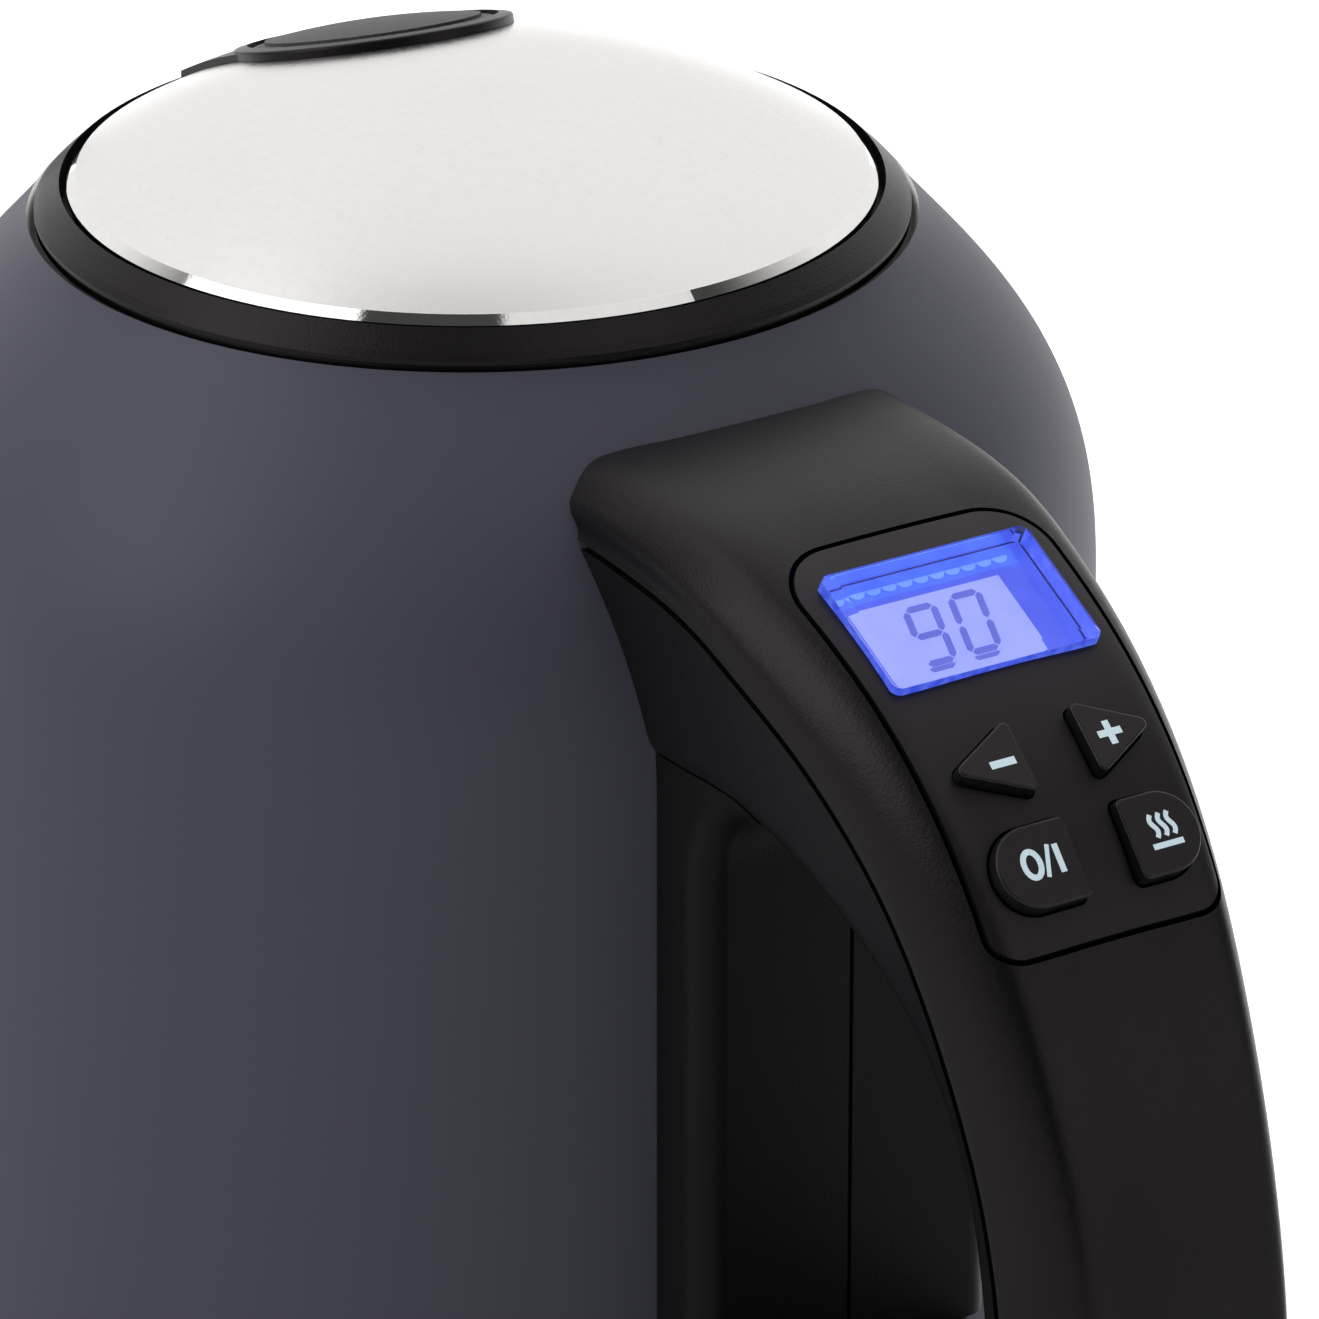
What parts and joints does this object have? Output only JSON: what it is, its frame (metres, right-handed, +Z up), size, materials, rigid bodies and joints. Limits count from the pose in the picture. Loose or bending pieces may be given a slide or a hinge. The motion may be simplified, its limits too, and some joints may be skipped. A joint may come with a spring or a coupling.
{
  "type": "gooseneck kettle",
  "caption": "Cordless electric gooseneck kettle with domed lift-off lid, looped handle with display and keys, and a round power base on which it swivels.",
  "frame": {"origin": "centre of the power base's underside, on the plane that its feet stand on", "axes": "+Z up, +X towards the handle, -X towards the spout"},
  "size_m": [0.2915, 0.148, 0.1689],
  "materials": {
    "paint": "matte powder coat",
    "black": "satin, fine texture",
    "key_black": "satin",
    "plate_grey": "fine texture",
    "steel": "satin",
    "polished": "polished",
    "alu": "as pressed",
    "brass": "plated",
    "rubber": "matt",
    "silicone": "matt silicone",
    "lens": "clear moulded",
    "lcd": "backlit panel",
    "board": "solder mask",
    "white": "diffuser",
    "wire": "silicone sleeve"
  },
  "bodies": {
    "base": {"base_cover": "black", "base_plate": "black", "base_feet": "rubber", "base_screws": "steel", "base_cord_gland": "rubber", "base_bearing_ring": "white"},
    "coupler": {"base_coupler": "black", "coupler_contact_pin": "brass", "coupler_contact_ring": "brass"},
    "kettle": {"body_shell": "paint", "rim_collar": "black", "vessel_floor": "steel", "heat_plate": "alu", "heater_ring": "steel", "temperature_sensor": "steel", "bottom_cover": "black", "kettle_connector": "black", "connector_screws": "steel", "spout_tube": "paint", "spout_socket": "paint", "display_lens": "lens", "lcd_module": "lcd", "backlight": "white", "control_panel": "black", "tact_switches": "key_black", "control_board": "board", "handle_upper_shell": "black", "handle_lower_shell": "black", "handle_bracket": "steel", "handle_screws": "steel", "handle_spine": "black", "wire_loom": "wire"},
    "lid": {"lid_dome": "polished", "lid_liner": "steel", "lid_seal": "silicone", "lid_screws": "steel", "lid_grip": "black", "lid_grip_plate": "plate_grey"},
    "minus_key": {"minus_key": "key_black"},
    "plus_key": {"plus_key": "key_black"},
    "power_key": {"power_key": "key_black"},
    "warm_key": {"warm_key": "key_black"}
  },
  "joints": [
    {"name": "kettle_swivel", "type": "hinge", "parent": "base", "child": "coupler", "pos_m": [0, 0, 0.02], "axis": [0, 0, 1], "continuous": true},
    {"name": "kettle_lift", "type": "slide", "parent": "coupler", "child": "kettle", "axis": [0, 0, 1], "range_m": [0, 0.06]},
    {"name": "lid_lift", "type": "slide", "parent": "kettle", "child": "lid", "axis": [0, 0, 1], "range_m": [0, 0.05]},
    {"name": "minus_key_press", "type": "slide", "parent": "kettle", "child": "minus_key", "axis": [-0.6361, 0, -0.7716], "range_m": [0, 0.0008], "stiffness_N_per_m": 400},
    {"name": "plus_key_press", "type": "slide", "parent": "kettle", "child": "plus_key", "axis": [-0.6361, 0, -0.7716], "range_m": [0, 0.0008], "stiffness_N_per_m": 400},
    {"name": "power_key_press", "type": "slide", "parent": "kettle", "child": "power_key", "axis": [-0.749, 0, -0.6626], "range_m": [0, 0.0008], "stiffness_N_per_m": 400},
    {"name": "warm_key_press", "type": "slide", "parent": "kettle", "child": "warm_key", "axis": [-0.749, 0, -0.6626], "range_m": [0, 0.0008], "stiffness_N_per_m": 400}
  ]
}
